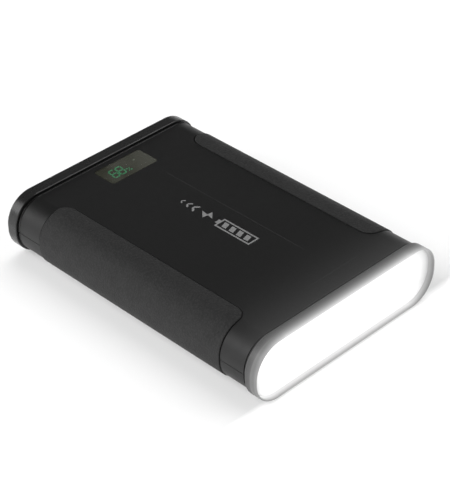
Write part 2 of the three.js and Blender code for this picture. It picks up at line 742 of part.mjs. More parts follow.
place('upper_shell', upperShell(), plastic('#242424', 0.55));
place('lower_shell', lowerShell(), plastic('#242424', 0.55));
place('left_grip', grip(-1), plastic('#393939', 0.85));
place('right_grip', grip(1), plastic('#393939', 0.85));
lampParts();
rearParts();
placeScrews();
placeFeet();
displayParts();
batteryParts();
electronics();
wiring();

export default model;
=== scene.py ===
"""Looks of the power bank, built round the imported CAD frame.

Sizes are in millimetres, with X across, Y along the case (lamp at -Y) and Z up, and meshes are
scaled to metres where they are made.
"""

import json
import math

import bmesh
import bpy
from mathutils import Matrix, Vector


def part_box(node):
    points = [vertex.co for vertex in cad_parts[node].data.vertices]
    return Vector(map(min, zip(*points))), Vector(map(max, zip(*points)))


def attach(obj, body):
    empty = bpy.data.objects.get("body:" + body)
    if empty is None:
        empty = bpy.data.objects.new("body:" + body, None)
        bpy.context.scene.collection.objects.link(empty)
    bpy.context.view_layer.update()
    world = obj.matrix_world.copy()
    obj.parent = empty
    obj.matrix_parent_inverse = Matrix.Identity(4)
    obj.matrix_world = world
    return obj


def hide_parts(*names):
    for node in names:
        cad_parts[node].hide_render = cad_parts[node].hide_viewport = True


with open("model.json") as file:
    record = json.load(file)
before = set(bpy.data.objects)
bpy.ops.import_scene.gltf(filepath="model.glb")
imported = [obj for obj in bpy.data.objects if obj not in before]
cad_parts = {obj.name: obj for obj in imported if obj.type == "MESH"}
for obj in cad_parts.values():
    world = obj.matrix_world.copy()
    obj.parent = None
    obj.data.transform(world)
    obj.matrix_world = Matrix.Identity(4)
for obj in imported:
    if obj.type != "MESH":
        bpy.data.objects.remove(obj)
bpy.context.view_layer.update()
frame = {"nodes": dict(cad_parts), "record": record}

MM = 0.001


def node_box(node):
    low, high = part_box(node)
    return low / MM, high / MM


def middle(node):
    low, high = node_box(node)
    return (low + high) / 2


def size(node):
    low, high = node_box(node)
    return high - low


# ---- Driving dimensions, from the frame ----

BEZEL_LOW, BEZEL_HIGH = node_box("front_bezel")
CAP_LOW, CAP_HIGH = node_box("rear_cap")
SHELL_LOW, SHELL_HIGH = node_box("upper_shell")
GRIP_LOW, GRIP_HIGH = node_box("right_grip")
LENS_LOW, LENS_HIGH = node_box("lamp_lens")
PANEL_LOW, PANEL_HIGH = node_box("port_panel")
WINDOW_LOW, WINDOW_HIGH = node_box("display_window")

HALF_WIDTH = BEZEL_HIGH.x
HALF_HEIGHT = (BEZEL_HIGH.z - BEZEL_LOW.z) / 2
MID = (BEZEL_HIGH.z + BEZEL_LOW.z) / 2
FRONT = BEZEL_LOW.y
REAR = CAP_HIGH.y
FLANGE_RADIUS = 19.0
CORNER_X = HALF_WIDTH - FLANGE_RADIUS
CORNER_Z = HALF_HEIGHT - FLANGE_RADIUS

BODY_INSET = HALF_WIDTH - SHELL_HIGH.x
GRIP_INSET = HALF_WIDTH - GRIP_HIGH.x
WALL = 2.2
INNER_INSET = BODY_INSET + WALL
BODY_TOP = SHELL_HIGH.z
SHELL_FRONT = SHELL_LOW.y
SHELL_REAR = SHELL_HIGH.y
BEZEL_BACK = SHELL_FRONT - 0.3
CAP_FRONT = SHELL_REAR + 0.5
SPIGOT_INSET = INNER_INSET + 0.3
SPIGOT_BORE = SPIGOT_INSET + 1.6
RECESS_FLOOR = GRIP_INSET + 2.1
GRIP_BASE = GRIP_INSET + 1.3
SEAM = 0.15
SEAM_CHAMFER = 0.22
LIP = 1.65
GRIP_GAP = 0.6
CLEARANCE = 0.3
PANEL_SEAT = PANEL_LOW.y - CLEARANCE
WINDOW_CENTRE = middle("display_window").xy
WINDOW_SIZE = size("display_window").xy
WINDOW_CORNER = 2.2
WINDOW_LEDGE = 2.5
PANEL_INSET = 3.3
SCREW_HOLE = 1.6
SCREW_WELL = 2.9

CORNER_STEPS = 28
ROUND_STEPS = 64
SMOOTH_ANGLE = 32
# Points closer than this are one point
MERGE = 1e-4
# How far a cutter runs past the surface that it opens
PAST = 1.0

# ---- Mesh making ----


def link(name, mesh):
    obj = bpy.data.objects.new(name, mesh)
    bpy.context.scene.collection.objects.link(obj)
    return obj


def mesh_object(name, vertices, faces, merge=MERGE):
    """A mesh object from points in millimetres, with shared points merged and faces pointing out."""
    mesh = bpy.data.meshes.new(name)
    mesh.from_pydata([tuple(c * MM for c in v) for v in vertices], [], faces)
    tidy = bmesh.new()
    tidy.from_mesh(mesh)
    bmesh.ops.remove_doubles(tidy, verts=tidy.verts, dist=merge * MM)
    bmesh.ops.recalc_face_normals(tidy, faces=tidy.faces)
    tidy.to_mesh(mesh)
    tidy.free()
    return link(name, mesh)


def bake(obj):
    """Makes the modifiers' result the object's own mesh."""
    graph = bpy.context.evaluated_depsgraph_get()
    made = bpy.data.meshes.new_from_object(obj.evaluated_get(graph))
    made.name = obj.name
    obj.modifiers.clear()
    obj.data = made


def carve(obj, cutter, operation="DIFFERENCE"):
    modifier = obj.modifiers.new("carve", "BOOLEAN")
    modifier.operation = operation
    modifier.solver = "EXACT"
    modifier.object = cutter
    bake(obj)
    bpy.data.objects.remove(cutter)


def smooth(obj):
    """Smooth shading that keeps sharp edges and leaves large flat faces flat."""
    mesh = obj.data
    mesh.polygons.foreach_set("use_smooth", [True] * len(mesh.polygons))
    mesh.set_sharp_from_angle(angle=math.radians(SMOOTH_ANGLE))
    weighted = obj.modifiers.new("flat_faces", "WEIGHTED_NORMAL")
    weighted.keep_sharp = True
    weighted.weight = 100


def finish_piece(obj, material, replaces=(), body="case"):
    smooth(obj)
    obj.data.materials.clear()
    obj.data.materials.append(material)
    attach(obj, body)
    if replaces:
        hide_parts(*replaces)


def merge(objects, name):
    """Several mesh objects as one, still as separate solids."""
    whole = bmesh.new()
    for obj in objects:
        whole.from_mesh(obj.data)
        bpy.data.objects.remove(obj)
    mesh = bpy.data.meshes.new(name)
    whole.to_mesh(mesh)
    whole.free()
    return link(name, mesh)


def section(inset):
    """The case's outline as (x, z) points, inset from the end flanges."""
    radius = FLANGE_RADIUS - inset
    points = []
    for quarter, (side, level) in enumerate(((1, 1), (-1, 1), (-1, -1), (1, -1))):
        for step in range(CORNER_STEPS + 1):
            angle = math.pi / 2 * (quarter + step / CORNER_STEPS)
            points.append((
                side * CORNER_X + radius * math.cos(angle),
                MID + level * CORNER_Z + radius * math.sin(angle)))
    return points


def join_loops(loops, ring):
    """Vertices and faces of a skin over loops of equally many points, joined as a ring or capped."""
    count = len(loops[0])
    vertices = [point for loop in loops for point in loop]
    faces = []
    pairs = [(i, i + 1) for i in range(len(loops) - 1)]
    if ring:
        pairs.append((len(loops) - 1, 0))
    for a, b in pairs:
        for i in range(count):
            j = (i + 1) % count
            faces.append((a * count + i, a * count + j, b * count + j, b * count + i))
    if not ring:
        faces.append(tuple(range(count)))
        faces.append(tuple((len(loops) - 1) * count + i for i in range(count)))
    return vertices, faces


def along_y(name, stations, hollow):
    """A ring (hollow) or a plug along Y, through stations of (y, inset from the flanges)."""
    loops = [[(x, y, z) for x, z in section(inset)] for y, inset in stations]
    return mesh_object(name, *join_loops(loops, ring=hollow))


def lathe(name, profile, centre, axis, steps=ROUND_STEPS):
    """A turned piece: profile holds (radius, position along the axis) from one end to the other."""
    stack = stack_y if axis == "Y" else stack_z
    return stack(name, [(circle(centre, max(radius, MERGE), steps), along) for radius, along in profile])


def arc(centre, radius, start, end, steps):
    """Points on an arc, in degrees, both ends included."""
    angles = [math.radians(start + (end - start) * i / steps) for i in range(steps + 1)]
    return [(centre[0] + radius * math.cos(a), centre[1] + radius * math.sin(a)) for a in angles]


def circle(centre, radius, steps=48):
    return arc(centre, radius, 0, 360 - 360 / steps, steps - 1)


def rounded_rectangle(width, height, radius, steps=6, centre=(0, 0)):
    x = width / 2 - radius
    y = height / 2 - radius
    points = []
    for quarter, (sx, sy) in enumerate(((1, 1), (-1, 1), (-1, -1), (1, -1))):
        corner = (centre[0] + sx * x, centre[1] + sy * y)
        points += arc(corner, radius, 90 * quarter, 90 * quarter + 90, steps)
    return points


def stack_z(name, levels):
    """A solid from outlines of equally many (x, y) points, each at its own height."""
    loops = [[(x, y, z) for x, y in outline] for outline, z in levels]
    return mesh_object(name, *join_loops(loops, ring=False))


def stack_y(name, levels):
    """The same along Y, from outlines of (x, z) points."""
    loops = [[(x, y, z) for x, z in outline] for outline, y in levels]
    return mesh_object(name, *join_loops(loops, ring=False))


# ---- Materials ----


def map_range(tree, value, low, high, to_low, to_high):
    node = tree.nodes.new("ShaderNodeMapRange")
    for name, number in (("From Min", low), ("From Max", high), ("To Min", to_low), ("To Max", to_high)):
        node.inputs[name].default_value = number
    tree.links.new(value, node.inputs["Value"])
    return node


class Shader:
    """A Principled material with short calls for the nodes that every surface here uses."""

    def __init__(self, name, roughness, metallic=0.0, specular=0.5):
        self.material = bpy.data.materials.new(name)
        self.material.use_nodes = True
        self.tree = self.material.node_tree
        self.shader = self.tree.nodes["Principled BSDF"]
        self.shader.inputs["Metallic"].default_value = metallic
        self.shader.inputs["Roughness"].default_value = roughness
        self.shader.inputs["Specular IOR Level"].default_value = specular
        self.place = self.tree.nodes.new("ShaderNodeTexCoord").outputs["Object"]

    def link(self, output, target):
        self.tree.links.new(output, target)

    def noise(self, size, detail=3.0):
        """Noise whose features are about size millimetres across, from 0 to 1."""
        node = self.tree.nodes.new("ShaderNodeTexNoise")
        node.inputs["Scale"].default_value = 1 / (size * MM)
        node.inputs["Detail"].default_value = detail
        self.link(self.place, node.inputs["Vector"])
        return node.outputs["Fac"]

    def cells(self, size, feature="SMOOTH_F1"):
        node = self.tree.nodes.new("ShaderNodeTexVoronoi")
        node.feature = feature
        node.inputs["Scale"].default_value = 1 / (size * MM)
        if feature == "SMOOTH_F1":
            node.inputs["Smoothness"].default_value = 0.6
        self.link(self.place, node.inputs["Vector"])
        return node.outputs["Distance"]

    def ramp(self, value, stops):
        """Colours along a value, from (position, colour) stops. A single number is a grey."""
        node = self.tree.nodes.new("ShaderNodeValToRGB")
        elements = node.color_ramp.elements
        while len(elements) < len(stops):
            elements.new(0.5)
        for element, (position, color) in zip(elements, stops):
            element.position = position
            element.color = (*color, 1) if isinstance(color, tuple) else (color, color, color, 1)
        self.link(value, node.inputs["Fac"])
        return node.outputs["Color"]

    def fit(self, value, low, high, to_low, to_high):
        return map_range(self.tree, value, low, high, to_low, to_high).outputs["Result"]

    def axis(self, name):
        node = self.tree.nodes.new("ShaderNodeSeparateXYZ")
        self.link(self.place, node.inputs["Vector"])
        return node.outputs[name]

    def math(self, operation, a, b):
        node = self.tree.nodes.new("ShaderNodeMath")
        node.operation = operation
        for socket, value in zip(node.inputs, (a, b)):
            if isinstance(value, (int, float)):
                socket.default_value = value
            else:
                self.link(value, socket)
        return node.outputs["Value"]

    def times(self, first, *others):
        for other in others:
            first = self.math("MULTIPLY", first, other)
        return first

    def most(self, first, *others):
        for other in others:
            first = self.math("MAXIMUM", first, other)
        return first

    def size_of(self, value):
        return self.math("ABSOLUTE", value, 0)

    def depth_in_case(self):
        """How far a point lies inside the end flanges' outline, in metres."""
        across = self.math("SUBTRACT", self.size_of(self.axis("X")), CORNER_X * MM)
        height = self.math("SUBTRACT", self.axis("Z"), MID * MM)
        up = self.math("SUBTRACT", self.size_of(height), CORNER_Z * MM)
        squares = [self.math("POWER", self.most(part, 0), 2) for part in (across, up)]
        reach = self.math("SQRT", self.math("ADD", *squares), 0)
        return self.math("SUBTRACT", FLANGE_RADIUS * MM, reach)

    def color(self, value, stops):
        self.link(self.ramp(value, stops), self.shader.inputs["Base Color"])
        return self

    def roughness(self, value, low, high):
        self.link(self.fit(value, 0.3, 0.7, low, high), self.shader.inputs["Roughness"])
        return self

    def bump(self, height, depth):
        """Relief from height values, depth millimetres from 0 to 1, over any relief made before."""
        node = self.tree.nodes.new("ShaderNodeBump")
        node.inputs["Strength"].default_value = 1.0
        node.inputs["Distance"].default_value = depth * MM
        self.link(height, node.inputs["Height"])
        normal = self.shader.inputs["Normal"]
        if normal.is_linked:
            self.link(normal.links[0].from_socket, node.inputs["Normal"])
        self.link(node.outputs["Normal"], normal)
        return self

    def glow(self, strength, color=(1, 1, 1)):
        self.shader.inputs["Emission Color"].default_value = (*color, 1)
        socket = self.shader.inputs["Emission Strength"]
        if isinstance(strength, (int, float)):
            socket.default_value = strength
        else:
            self.link(strength, socket)
        return self


def moulded(name, dark, light, roughness, grain=0.3, depth=0.03, specular=0.5):
    """Moulded plastic or rubber: a fine sparked texture, cloudy tone and uneven gloss."""
    shader = Shader(name, roughness, specular=specular)
    cloud = shader.fit(shader.noise(30, detail=2), 0, 1, -0.12, 0.12)
    fine = shader.noise(grain, detail=2)
    shader.color(shader.math("ADD", cloud, fine), [(0.25, dark), (0.75, light)])
    shader.roughness(shader.noise(8), roughness - 0.02, roughness + 0.02)
    shader.bump(fine, depth)
    return shader


def case_plastic():
    shader = moulded("case_plastic", 0.005, 0.007, 0.48)
    # The lip at the rear end is polished
    polish = shader.fit(shader.axis("Y"), (SHELL_REAR - 1.5) * MM, (SHELL_REAR - 1.3) * MM, 0.0, 0.24)
    rough = shader.shader.inputs["Roughness"]
    shader.link(shader.math("SUBTRACT", rough.links[0].from_socket, polish), rough)
    # Painted glow: an emission stands in for the lamp's light reaching a little way over the front of
    # the case's top
    painted_spill = shader.fit(shader.axis("Y"), (SHELL_FRONT + 60) * MM, SHELL_FRONT * MM, 0.0, 1.0)
    raised = shader.fit(shader.axis("Z"), (MID + 6) * MM, BODY_TOP * MM, 0.0, 0.034)
    return shader.glow(shader.times(shader.math("POWER", painted_spill, 3), raised)).material


def grip_rubber():
    shader = Shader("grip_rubber", 0.68, specular=0.55)
    pebbles = shader.cells(1.15)
    fine = shader.noise(0.3, detail=3)
    shader.color(pebbles, [(0.15, 0.0175), (0.6, 0.0105)])
    shader.roughness(shader.noise(8), 0.66, 0.72)
    shader.bump(fine, 0.03).bump(pebbles, -0.24)
    return shader.material


def bezel_plastic():
    """Frosted plastic with a painted glow that stands in for the lens's light: brightest on its bore and
    lip, fading to its back edge, stronger towards the top, with a painted highlight along the back edge
    near the ends.
    """
    shader = moulded("bezel_plastic", 0.045, 0.06, 0.42, grain=0.5, depth=0.015)
    x, y, z = (shader.axis(name) for name in "XYZ")
    depth = shader.depth_in_case()
    along = shader.fit(y, BEZEL_BACK * MM, FRONT * MM, 0.0, 1.0)
    # Painted glow on the outer skin, rising from the back edge to the front lip, weaker past the LED
    # strip's ends
    outside = shader.ramp(along, [(0.0, 0.012), (0.14, 0.026), (0.28, 0.052), (0.42, 0.1),
                                  (0.56, 0.17), (0.7, 0.27), (0.84, 0.42), (1.0, 0.64)])
    beyond_led = shader.fit(shader.size_of(x), 0.052, 0.074, 0.0, 1.0)
    dimming = shader.fit(shader.math("POWER", beyond_led, 0.7), 0.0, 1.0, 1.0, 0.42)
    # Painted glare: the skin's glow is stronger towards the top
    raised = shader.fit(z, 2 * MM, (MID + 8) * MM, 0.6, 1.0)
    skin = shader.times(outside, dimming, raised)
    edge = shader.times(shader.fit(along, 0.8, 1.0, 0.0, 0.36), dimming)
    # Painted highlight: a thin bright line along the back edge near the ends
    painted_back_edge_highlight = shader.times(shader.fit(along, 0.0, 0.07, 0.13, 0.0),
                             shader.fit(shader.size_of(x), 0.045, 0.062, 0.0, 1.0))
    # Painted glow on the lip's face and in the bore, weaker at the right end
    lip = shader.fit(depth, 0.15 * MM, 1.1 * MM, 0.12, 0.34)
    bore = shader.fit(y, FRONT * MM, LENS_LOW.y * MM, 0.55, 0.78)
    right_end = shader.fit(x, 0.056, 0.074, 1.0, 0.5)
    inside = shader.times(shader.fit(depth, 0.9 * MM, 1.2 * MM, 0.0, 1.0), bore)
    front = shader.fit(y, (LENS_LOW.y + 1.9) * MM, (LENS_LOW.y + 1.0) * MM, 0.0, 1.0)
    painted_lip_and_bore_glow = shader.times(shader.most(lip, inside), right_end, front)
    cloud = shader.fit(shader.noise(9), 0, 1, 0.95, 1.05)
    lit = shader.most(skin, edge, painted_lip_and_bore_glow, painted_back_edge_highlight)
    return shader.glow(shader.times(lit, cloud)).material


def lens_diffuser():
    """A frosted pane over the LED strip, dimmer round its edge and past the strip's end, with a painted
    glow of light bounced onto its lower part.
    """
    shader = Shader("lens_diffuser", 0.35)
    shader.color(shader.noise(12), [(0.3, 0.28), (0.7, 0.32)])
    shader.roughness(shader.noise(3), 0.3, 0.42)
    shader.bump(shader.noise(0.4, detail=2), 0.02)
    edge = shader.fit(shader.depth_in_case(), 1.6 * MM, 9 * MM, 0.0, 1.0)
    glow = shader.ramp(edge, [(0.0, 0.31), (0.14, 0.42), (0.25, 0.49), (0.5, 0.57), (1.0, 0.68)])
    past_strip = shader.fit(shader.axis("X"), 0.045, 0.074, 1.35, 0.85)
    left_end = shader.fit(shader.axis("X"), -0.075, -0.066, 0.6, 1.0)
    # Painted bounced light: the pane glows more towards its bottom
    painted_bounce = shader.fit(shader.axis("Z"), 4 * MM, 13 * MM, 0.3, 0.0)
    return shader.glow(shader.math("ADD", shader.times(glow, past_strip, left_end), painted_bounce)).material


def cap_plastic():
    return moulded("cap_plastic", 0.009, 0.014, 0.28, grain=0.45, depth=0.012,
                   specular=0.55).material


def panel_plastic():
    return moulded("panel_plastic", 0.011, 0.016, 0.48, depth=0.025).material


def display_glass():
    shader = Shader("display_glass", 0.08)
    # Painted reflection: the glass's tone grows lighter towards +X
    across = shader.fit(shader.axis("X"), WINDOW_LOW.x * MM, WINDOW_HIGH.x * MM, -0.3, 0.3)
    shader.color(shader.math("ADD", shader.noise(14), across), [
        (0.2, (0.037, 0.038, 0.028)), (0.8, (0.072, 0.073, 0.061))])
    shader.roughness(shader.noise(5), 0.07, 0.13)
    shader.bump(shader.noise(9), 0.01)
    shader.shader.inputs["Alpha"].default_value = 0.5
    return shader.material


def lit_segment(name, dark, light, strength):
    shader = Shader(name, 0.4)
    shader.color(shader.noise(1.2), [(0.35, dark), (0.65, light)])
    return shader.glow(shader.fit(shader.noise(0.9), 0.3, 0.7, strength * 0.75, strength),
                       light).material


def metal(name, dark, light, roughness, size=1.5):
    shader = Shader(name, roughness, metallic=1.0)
    shader.color(shader.noise(size, detail=5), [(0.3, dark), (0.7, light)])
    shader.roughness(shader.noise(size / 2), roughness - 0.06, roughness + 0.08)
    shader.bump(shader.noise(0.2), 0.004)
    return shader.material


def printed_ink():
    shader = Shader("printed_ink", 0.55, specular=0.35)
    shader.color(shader.noise(0.6, detail=4), [(0.3, 0.118), (0.7, 0.15)])
    shader.bump(shader.noise(0.25), 0.01)
    return shader.material


def circuit_board():
    """Green solder mask over a grid of copper tracks."""
    shader = Shader("circuit_board", 0.35)
    tracks = shader.cells(3.5, feature="DISTANCE_TO_EDGE")
    shader.color(tracks, [(0.05, (0.02, 0.16, 0.07)), (0.12, (0.006, 0.07, 0.03))])
    shader.bump(tracks, 0.04)
    shader.roughness(shader.noise(3), 0.3, 0.42)
    return shader.material


def cell_sleeve():
    """Shrink sleeve with a faint wrinkle along the cell."""
    shader = Shader("cell_sleeve", 0.35)
    shader.color(shader.noise(15), [(0.3, (0.006, 0.05, 0.16)), (0.7, (0.01, 0.08, 0.24))])
    shader.bump(shader.noise(2.5, detail=4), 0.06)
    shader.roughness(shader.noise(5), 0.28, 0.42)
    return shader.material


MATERIALS = {
    "case_plastic": case_plastic(),
    "grip_rubber": grip_rubber(),
    "bezel_plastic": bezel_plastic(),
    "lens_diffuser": lens_diffuser(),
    "cap_plastic": cap_plastic(),
    "panel_plastic": panel_plastic(),
    "display_glass": display_glass(),
    "button_plastic": moulded("button_plastic", 0.02, 0.028, 0.42, depth=0.012).material,
    "socket_plastic": moulded("socket_plastic", 0.01, 0.016, 0.42).material,
    "socket_metal": metal("socket_metal", 0.5, 0.62, 0.28),
    "screw_steel": metal("screw_steel", 0.03, 0.06, 0.36),
    "foot_rubber": moulded("foot_rubber", 0.012, 0.02, 0.8, grain=0.5, depth=0.05).material,
    "gasket_foam": moulded("gasket_foam", 0.02, 0.03, 0.9, grain=0.7, depth=0.1).material,
    "reflector_white": moulded("reflector_white", 0.8, 0.88, 0.35).material,
    "led_board_white": moulded("led_board_white", 0.7, 0.8, 0.4).material,
    "led_phosphor": moulded("led_phosphor", (0.8, 0.6, 0.1), (0.9, 0.72, 0.2), 0.5).material,
    "display_black": moulded("display_black", 0.012, 0.02, 0.5).material,
    "circuit_board": circuit_board(),
    "cell_sleeve": cell_sleeve(),
    "wrap_film": moulded("wrap_film", (0.012, 0.014, 0.02), (0.02, 0.023, 0.03), 0.35,
                         grain=2.0, depth=0.08).material,
    "nickel": metal("nickel", 0.42, 0.55, 0.35),
    "lead_red": moulded("lead_red", (0.3, 0.01, 0.01), (0.42, 0.02, 0.02), 0.45).material,
    "lead_black": moulded("lead_black", 0.012, 0.02, 0.45).material,
    "lead_white": moulded("lead_white", 0.6, 0.72, 0.45).material,
    "component_black": moulded("component_black", 0.02, 0.035, 0.6).material,
    "component_aluminium": metal("component_aluminium", 0.5, 0.6, 0.4),
}
INK = printed_ink()
# A lighter tone for the moulded lines, a painted highlight on their edges
RIDGE_PAINTED_HIGHLIGHT = moulded("ridge_painted_highlight", 0.024, 0.032, 0.4).material
GREEN_LIGHT = lit_segment("green_light", (0.01, 0.13, 0.06), (0.03, 0.55, 0.23), 0.8)
PALE_LIGHT = lit_segment("pale_light", (0.2, 0.25, 0.2), (0.35, 0.45, 0.35), 0.5)
GOLD = metal("contact_gold", (0.75, 0.5, 0.2), (0.85, 0.6, 0.28), 0.25)


def dress_cad_nodes():
    """Each CAD node takes its slot's material; most of those left showing are inside the case."""
    for row in frame["record"]["subparts"]:
        obj = frame["nodes"][row["node"]]
        obj.data.materials.clear()
        obj.data.materials.append(MATERIALS[row["material_slot"]])


# ---- Side grips ----

SIDE_FLAT = CORNER_Z
BODY_RADIUS = FLANGE_RADIUS - BODY_INSET
ARC_END = SIDE_FLAT + BODY_RADIUS * math.pi / 2
GRIP_REACH = ARC_END + CORNER_X - GRIP_LOW.x
GRIP_CORNER = 8.5
ACROSS_STEPS = 60
ALONG_STEPS = 24
TURN_STEPS = 10


def on_case(s, inset, side):
    """The (x, z) point at distance s round the body from its side's middle, at a depth of inset."""
    level = 1 if s >= 0 else -1
    s = abs(s)
    depth = inset - BODY_INSET
    if s <= SIDE_FLAT:
        x, up = HALF_WIDTH - inset, s
    elif s <= ARC_END:
        angle = (s - SIDE_FLAT) / BODY_RADIUS
        x = CORNER_X + (BODY_RADIUS - depth) * math.cos(angle)
        up = CORNER_Z + (BODY_RADIUS - depth) * math.sin(angle)
    else:
        x, up = CORNER_X - (s - ARC_END), CORNER_Z + BODY_RADIUS - depth
    return side * x, MID + level * up


def spaced(start, end, steps):
    return [start + (end - start) * i / steps for i in range(steps + 1)]


def grip_patch(name, side, margin, levels):
    """A patch that wraps round one side. levels holds (inward offset, inset) rings from its base
    up over its edge; the last ring's offset is where the flat fill starts."""
    reach = GRIP_REACH + margin
    front = GRIP_LOW.y - margin
    rear = GRIP_HIGH.y + margin
    corner = GRIP_CORNER + margin
    across = spaced(-reach + corner, reach - corner, ACROSS_STEPS)
    along = spaced(front + corner, rear - corner, ALONG_STEPS)

    def ring(offset):
        radius = corner - offset
        points = [(s, front + offset) for s in across]
        points += arc((across[-1], along[0]), radius, -90, 0, TURN_STEPS)[1:-1]
        points += [(across[-1] + radius, y) for y in along]
        points += arc((across[-1], along[-1]), radius, 0, 90, TURN_STEPS)[1:-1]
        points += [(s, rear - offset) for s in reversed(across)]
        points += arc((across[0], along[-1]), radius, 90, 180, TURN_STEPS)[1:-1]
        points += [(across[0] - radius, y) for y in reversed(along)]
        points += arc((across[0], along[0]), radius, 180, 270, TURN_STEPS)[1:-1]
        return points

    vertices = []
    faces = []

    def add(points, inset):
        start = len(vertices)
        for s, y in points:
            x, z = on_case(s, inset, side)
            vertices.append((x, y, z))
        return start

    def fill(inset):
        for i in range(len(across) - 1):
            for j in range(len(along) - 1):
                quad = [(across[i], along[j]), (across[i + 1], along[j]),
                        (across[i + 1], along[j + 1]), (across[i], along[j + 1])]
                start = add(quad, inset)
                faces.append((start, start + 1, start + 2, start + 3))

    def skirt(offsets):
        rings = [(ring(offset), inset) for offset, inset in offsets]
        count = len(rings[0][0])
        starts = [add(points, inset) for points, inset in rings]
        for a, b in zip(starts, starts[1:]):
            for i in range(count):
                j = (i + 1) % count
                faces.append((a + i, a + j, b + j, b + i))

    base_offset, base_inset = levels[0]
    top_offset, top_inset = levels[-1]
    spread = [corner * k / 5 for k in range(1, 5)] + [corner - MERGE]
    skirt([(offset, base_inset) for offset in reversed(spread) if offset > base_offset]
          + levels
          + [(offset, top_inset) for offset in spread if offset > top_offset])
    fill(base_inset)
    fill(top_inset)
    return mesh_object(name, vertices, faces, merge=4 * MERGE)


def make_grips():
    edge = [(0.0, GRIP_BASE), (0.0, GRIP_INSET + 0.45), (0.06, GRIP_INSET + 0.22),
            (0.2, GRIP_INSET + 0.07), (0.42, GRIP_INSET)]
    for name, side in (("right_grip", 1), ("left_grip", -1)):
        grip = grip_patch(name + "_pad", side, 0.0, edge)
        finish_piece(grip, MATERIALS["grip_rubber"], [name])


# ---- Case shells ----


def half_outline(edge, level):
    """A half shell's closed section: outside from right to left, then back along the inside."""
    outer = [p for p in section(BODY_INSET + edge) if (p[1] - MID) * level > 0]
    inner = [p for p in section(INNER_INSET) if (p[1] - MID) * level > 0]
    if level < 0:
        outer.reverse()
        inner.reverse()
    joint = MID + level * SEAM
    side = HALF_WIDTH - BODY_INSET - edge
    bore = HALF_WIDTH - INNER_INSET
    raised = joint + level * SEAM_CHAMFER
    outside = [(side - SEAM_CHAMFER, joint), (side, raised), *outer,
               (-side, raised), (-side + SEAM_CHAMFER, joint)]
    inside = [(bore, joint), (bore, raised), *inner, (-bore, raised), (-bore, joint)]
    return outside, inside


def half_shell(name, level):
    """One half of the case, with a rounded lip and a thin groove at each end."""
    lip = [(0.0, 0.42), (0.12, 0.18), (0.32, 0.04), (0.55, 0.0), (0.8, 0.03), (1.05, 0.14),
           (1.25, 0.34), (1.29, 0.6), (LIP, 0.6), (LIP + 0.04, 0.1), (LIP + 0.16, 0.0)]
    stations = [(SHELL_FRONT + along, edge) for along, edge in lip]
    stations += [(SHELL_REAR - along, edge) for along, edge in reversed(lip)]
    vertices = []
    faces = []
    count = 0
    for y, edge in stations:
        outside, inside = half_outline(edge, level)
        count = len(outside)
        vertices += [(x, y, z) for x, z in outside]
        vertices += [(x, y, z) for x, z in inside]
    for k in range(len(stations) - 1):
        a = 2 * count * k
        b = a + 2 * count
        for i in range(count - 1):
            faces.append((a + i, a + i + 1, b + i + 1, b + i))
            faces.append((a + count + i, b + count + i, b + count + i + 1, a + count + i + 1))
        for i in (0, count - 1):
            faces.append((a + i, b + i, b + count + i, a + count + i))
    for a in (0, 2 * count * (len(stations) - 1)):
        for i in range(count - 1):
            faces.append((a + i, a + count + i, a + count + i + 1, a + i + 1))
    return mesh_object(name, vertices, faces)


def recess_cutter(side):
    return grip_patch("cutter", side, GRIP_GAP, [(0.0, RECESS_FLOOR), (0.0, -PAST)])


def window_outline(inset, radius):
    return rounded_rectangle(*(span - 2 * inset for span in WINDOW_SIZE), radius, centre=WINDOW_CENTRE)


def carve_window(upper):
    """A seat for the pane, and a smaller hole through the wall for the display under it."""
    gap = CLEARANCE / 2
    seat = window_outline(-gap, WINDOW_CORNER + gap)
    hole = window_outline(WINDOW_LEDGE, 1.0)
    top = BODY_TOP + PAST
    carve(upper, stack_z("cutter", [(seat, WINDOW_LOW.z - CLEARANCE), (seat, top)]))
    carve(upper, stack_z("cutter", [(hole, BODY_TOP - WALL - PAST), (hole, top)]))


def carve_foot_seats(lower):
    """A shallow seat for each foot, with a well for a case screw's head above it."""
    for number in range(1, 5):
        name = f"foot_{number}"
        centre = middle(name).xy
        radius = size(name).x / 2 + CLEARANCE
        top = node_box(name)[1].z
        carve(lower, lathe("cutter", [(radius, -PAST), (radius, top + CLEARANCE)], centre, "Z"))
        carve(lower, lathe("cutter", [(SCREW_WELL, 0), (SCREW_WELL, top + 2.2)], centre, "Z", 32))


def make_shells():
    upper = half_shell("upper_shell_skin", 1)
    lower = half_shell("lower_shell_skin", -1)
    for side in (1, -1):
        carve(upper, recess_cutter(side))
        carve(lower, recess_cutter(side))
    carve_window(upper)
    carve_foot_seats(lower)
    finish_piece(upper, MATERIALS["case_plastic"], ["upper_shell"])
    finish_piece(lower, MATERIALS["case_plastic"], ["lower_shell"])


# ---- Lamp end ----


def make_bezel():
    ledge = LENS_HIGH.y + 1.1
    ledge_inset = 1.35
    bezel = along_y("front_bezel_rim", [
        (FRONT + 0.12, 0.95), (FRONT, 0.7), (FRONT + 0.05, 0.32), (FRONT + 0.3, 0.06),
        (FRONT + 0.7, 0.0), (BEZEL_BACK - 0.7, 0.0), (BEZEL_BACK - 0.35, 0.07),
        (BEZEL_BACK - 0.1, 0.28), (BEZEL_BACK, 0.6),
        (BEZEL_BACK, SPIGOT_INSET), (BEZEL_HIGH.y - 0.4, SPIGOT_INSET),
        (BEZEL_HIGH.y, SPIGOT_INSET + 0.4), (BEZEL_HIGH.y, SPIGOT_BORE), (ledge, SPIGOT_BORE),
        (ledge, ledge_inset), (ledge - 0.5, ledge_inset), (FRONT + 0.5, 1.1),
    ], hollow=True)
    finish_piece(bezel, MATERIALS["bezel_plastic"], ["front_bezel"])


def make_lens():
    front = LENS_LOW.y
    back = LENS_HIGH.y
    lens = along_y("lamp_lens_pane", [
        (back, 1.9), (back - 0.3, 1.62), (front + 0.7, 1.62), (front + 0.25, 1.78),
        (front + 0.05, 2.2), (front, 2.8)], hollow=False)
    finish_piece(lens, MATERIALS["lens_diffuser"], ["lamp_lens"])


# ---- Rear end ----


